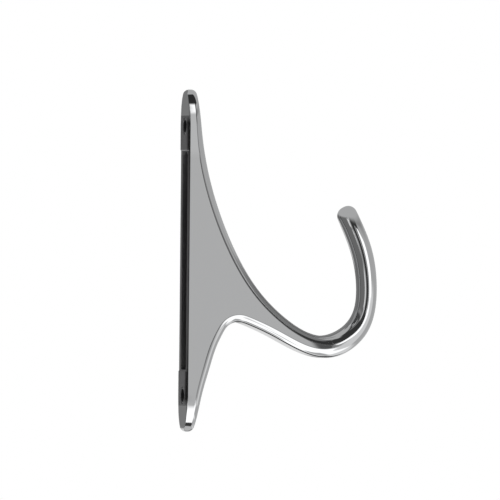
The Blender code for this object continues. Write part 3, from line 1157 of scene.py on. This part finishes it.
# In the room each covers those before it, and nearer ones cover the room
REFLECTORS = (
    Reflector("front_wall", (-60.0, 60.0), (-14.0, 14.0), 6.0, 0.35),
    Reflector("right_upper_wall", (20.0, 175.0), (-5.0, 70.0), 8.0, 0.28),
    Reflector("right_wall", (30.0, 175.0), (-40.0, 24.0), 10.0, 0.58),
    Reflector("ceiling", (-180.0, 180.0), (66.0, 90.0), 8.0, 0.45),
    Reflector("dark_upper_front", (-56.0, 42.0), (26.0, 78.0), 8.0, 0.05),
    Reflector("dark_front", (-14.0, 42.0), (5.0, 46.0), 7.0, 0.05),
    Reflector("table", (-150.0, 50.0), (-90.0, -11.0), 8.0, 1.80),
    Reflector("table_right", (20.0, 85.0), (-90.0, -30.0), 10.0, 1.70),
    Reflector("left_upper_wall", (-175.0, -10.0), (10.0, 66.0), 12.0, 0.40),
    Reflector("left_wall", (-175.0, -14.0), (-70.0, 30.0), 12.0, 0.21),
    Reflector("dark_upper_left", (-100.0, -18.0), (24.0, 82.0), 9.0, 0.09),
    Reflector("dark_behind", (130.0, 230.0), (-68.0, -34.0), 5.0, 0.05),
    Reflector("low_wall_behind", (140.0, 220.0), (-34.0, -6.0), 6.0, 0.80),
    Reflector("wall_behind", (150.0, 240.0), (-10.0, 75.0), 6.0, 0.25),
    Reflector("left_flag", (-9.0, 11.0), (-8.0, 12.0), 2.0, 0.05),
    Reflector("right_flag", (14.0, 28.0), (-9.0, 9.0), 4.0, 0.12),
    Reflector("camera_glow", (-30.0, -13.0), (-10.0, 15.0), 5.0, 1.0),
    Reflector("side_fill", (9.5, 20.0), (-7.0, 10.0), 3.0, 0.67),
    Reflector("bend_strip", (26.0, 75.0), (-50.0, 2.0), 8.0, 0.95, ARM_MIDDLE, 0.12),
    Reflector("arm_strip", (19.5, 46.0), (-6.0, 18.0), 2.5, 1.8, ARM_MIDDLE, 0.118),
    Reflector("tip_card", (-180.0, 180.0), (8.0, 90.0), 24.0, 0.62, ARM_TIP, 0.02),
    Reflector("upper_end_fill", (4.0, 24.0), (-20.0, 26.0), 4.0, 0.75, UPPER_END, 0.060),
    Reflector("upper_end_shade", (-60.0, 70.0), (30.0, 84.0), 5.0, 0.04, UPPER_END, 0.056),
    Reflector("upper_end_lamp", (3.0, 25.0), (7.0, 38.0), 9.0, 1.70, UPPER_END, 0.036),
    Reflector("upper_end_card", (-180.0, 180.0), (74.0, 90.0), 6.0, 0.62, UPPER_END, 0.03),
    Reflector("upper_end_wall", (40.0, 180.0), (15.0, 90.0), 10.0, 0.60, UPPER_END, 0.10),
    Reflector("lower_end_fill", (0.0, 28.0), (-19.0, 22.0), 13.0, 0.67, LOWER_END, 0.060),
    Reflector("lower_end_card", (-180.0, 180.0), (-90.0, -51.0), 4.0, 0.70, LOWER_END, 0.03),
    Reflector("lower_end_shade", (-70.0, 60.0), (-74.0, -51.0), 5.0, 0.06, LOWER_END, 0.027),
    Reflector("lower_end_wall", (45.0, 105.0), (-80.0, -30.0), 10.0, 0.60, LOWER_END, 0.10),
    Reflector("back_flag", (-89.87, -89.2), (-2.95, 2.95), 0.05, 0.03, BESIDE_BACK, FLAG_RADIUS),
)


def hang_reflector(reflector, order):
    """Bends a grid into one reflector, nearer by a step for each place in the order."""
    name, azimuths, elevations, soft_rim, strength, centre, radius = reflector
    columns, rows = REFLECTOR_GRID
    bpy.ops.object.select_all(action="DESELECT")
    bpy.ops.mesh.primitive_grid_add(x_subdivisions=columns, y_subdivisions=rows, size=1.0)
    card = bpy.context.active_object
    card.name = name
    wide = azimuths[1] - azimuths[0]
    high = elevations[1] - elevations[0]
    cover = card.data.attributes.new("cover", "FLOAT", "POINT")
    for vert in card.data.vertices:
        across = wide * (vert.co.x + 0.5)
        up = high * (vert.co.y + 0.5)
        rims = [up if elevations[0] > -90 else high, high - up if elevations[1] < 90 else high]
        rims += [across, wide - across] if wide < 360 else []
        cover.data[vert.index].value = smooth_step(min(rims) / soft_rim)
        turn = math.radians(azimuths[0] + across)
        rise = math.radians(elevations[0] + up)
        way = Vector((math.sin(turn) * math.cos(rise), -math.cos(turn) * math.cos(rise), math.sin(rise)))
        vert.co = Vector(centre) + way * (radius - order * REFLECTOR_STEP)
    card.data.materials.append(glow_material(name, strength))
    card.visible_camera = False
    card.visible_diffuse = False
    card.visible_transmission = False
    card.visible_volume_scatter = False
    card.visible_shadow = False


class OBJECT_OT_hook_stage(bpy.types.Operator):
    """Set up the floor, the reflector panels, the soft light, the lamp and the camera"""

    bl_idname = "object.hook_stage"
    bl_label = "Stage"
    bl_options = {"REGISTER", "UNDO"}

    def execute(self, context):
        settings = context.scene.coat_hook_stage
        self.lay_floor(settings)
        for order, reflector in enumerate(REFLECTORS):
            hang_reflector(reflector, order if reflector.radius == ROOM_RADIUS else 0)
        self.light_world(context, settings)
        self.hang_lamp(settings)
        self.set_camera(context, settings)
        context.scene.view_settings.view_transform = "Standard"
        return {"FINISHED"}

    def lay_floor(self, settings):
        """A pale round floor that the polish doesn't see."""
        bpy.ops.object.select_all(action="DESELECT")
        bpy.ops.mesh.primitive_circle_add(
            vertices=FLOOR_SIDES,
            radius=settings.floor_radius,
            fill_type="NGON",
            location=(0.0, 0.0, settings.floor_level),
        )
        floor = bpy.context.active_object
        floor.name = "floor"
        material = bpy.data.materials.new("pale_floor")
        material.use_nodes = True
        shader = material.node_tree.nodes["Principled BSDF"]
        shader.inputs["Base Color"].default_value = (*settings.floor_tint, 1.0)
        shader.inputs["Roughness"].default_value = FLOOR_ROUGHNESS
        floor.data.materials.append(material)
        floor.visible_glossy = False

    def light_world(self, context, settings):
        """White where the camera, the polish or glass sees it, and a soft even light otherwise."""
        world = bpy.data.worlds.new("studio")
        context.scene.world = world
        world.use_nodes = True
        tree = world.node_tree
        tree.nodes.clear()
        path = add_node(tree, "ShaderNodeLightPath")
        seen = add_node(tree, "ShaderNodeMath", {"operation": "MAXIMUM"})
        any_seen = add_node(tree, "ShaderNodeMath", {"operation": "MAXIMUM"})
        light = add_node(tree, "ShaderNodeBackground", Strength=settings.soft_light)
        white = add_node(tree, "ShaderNodeBackground", Strength=1.0)
        for background in (light, white):
            background.inputs["Color"].default_value = (1.0, 1.0, 1.0, 1.0)
        mix = add_node(tree, "ShaderNodeMixShader")
        output = add_node(tree, "ShaderNodeOutputWorld")
        tree.links.new(path.outputs["Is Camera Ray"], seen.inputs[0])
        tree.links.new(path.outputs["Is Glossy Ray"], seen.inputs[1])
        tree.links.new(seen.outputs[0], any_seen.inputs[0])
        tree.links.new(path.outputs["Is Transmission Ray"], any_seen.inputs[1])
        tree.links.new(any_seen.outputs[0], mix.inputs[0])
        tree.links.new(light.outputs[0], mix.inputs[1])
        tree.links.new(white.outputs[0], mix.inputs[2])
        tree.links.new(mix.outputs[0], output.inputs["Surface"])

    def hang_lamp(self, settings):
        """A lamp that the polish doesn't see, for a soft shadow on the floor."""
        place = Vector(LAMP_PLACE)
        bpy.ops.object.light_add(type="AREA", location=place)
        lamp = bpy.context.active_object
        lamp.name = "lamp"
        lamp.data.size = LAMP_SIZE
        lamp.data.energy = settings.lamp_power
        lamp.rotation_euler = (-place).to_track_quat("-Z", "Y").to_euler()
        lamp.visible_camera = False
        lamp.visible_glossy = False

    def set_camera(self, context, settings):
        """The camera, beside the hook and a little behind it."""
        turn = settings.camera_turn
        distance = settings.camera_distance
        right = Vector((math.cos(turn), -math.sin(turn), 0.0))
        ahead = Vector((math.sin(turn), math.cos(turn), 0.0))
        target = right * settings.view_right + Vector((0.0, 0.0, settings.view_level))
        bpy.ops.object.camera_add(location=target - ahead * distance)
        camera = context.active_object
        camera.name = "camera"
        look = ahead.to_track_quat("-Z", "Y").to_matrix() @ Matrix.Rotation(settings.camera_roll, 3, "Z")
        camera.rotation_euler = look.to_euler()
        camera.data.sensor_width = SENSOR_WIDTH
        camera.data.lens = SENSOR_WIDTH * distance / settings.view_height
        camera.data.clip_end = CLIP_DISTANCES * distance
        context.scene.camera = camera


class VIEW3D_PT_coat_hook(bpy.types.Panel):
    """The hook's pieces and stage, each with its sizes"""

    bl_label = "Coat Hook"
    bl_idname = "VIEW3D_PT_coat_hook"
    bl_space_type = "VIEW_3D"
    bl_region_type = "UI"
    bl_category = "Coat Hook"

    def draw(self, context):
        for operator, group in (
            (OBJECT_OT_hook_casting, context.scene.coat_hook_casting),
            (OBJECT_OT_hook_bushes, context.scene.coat_hook_bushes),
            (OBJECT_OT_hook_stage, context.scene.coat_hook_stage),
        ):
            box = self.layout.box()
            box.operator(operator.bl_idname)
            for name in group.bl_rna.properties.keys():
                if name not in ("name", "rna_type"):
                    box.prop(group, name)


CLASSES = (
    CastingSizes,
    BushSizes,
    StageSettings,
    OBJECT_OT_hook_casting,
    OBJECT_OT_hook_bushes,
    OBJECT_OT_hook_stage,
    VIEW3D_PT_coat_hook,
)


def register():
    for cls in CLASSES:
        bpy.utils.register_class(cls)
    bpy.types.Scene.coat_hook_casting = PointerProperty(type=CastingSizes)
    bpy.types.Scene.coat_hook_bushes = PointerProperty(type=BushSizes)
    bpy.types.Scene.coat_hook_stage = PointerProperty(type=StageSettings)


def unregister():
    del bpy.types.Scene.coat_hook_stage
    del bpy.types.Scene.coat_hook_bushes
    del bpy.types.Scene.coat_hook_casting
    for cls in reversed(CLASSES):
        bpy.utils.unregister_class(cls)


def main():
    register()
    bpy.ops.object.hook_casting()
    bpy.ops.object.hook_bushes()
    bpy.ops.object.hook_stage()


if __name__ == "__main__":
    main()
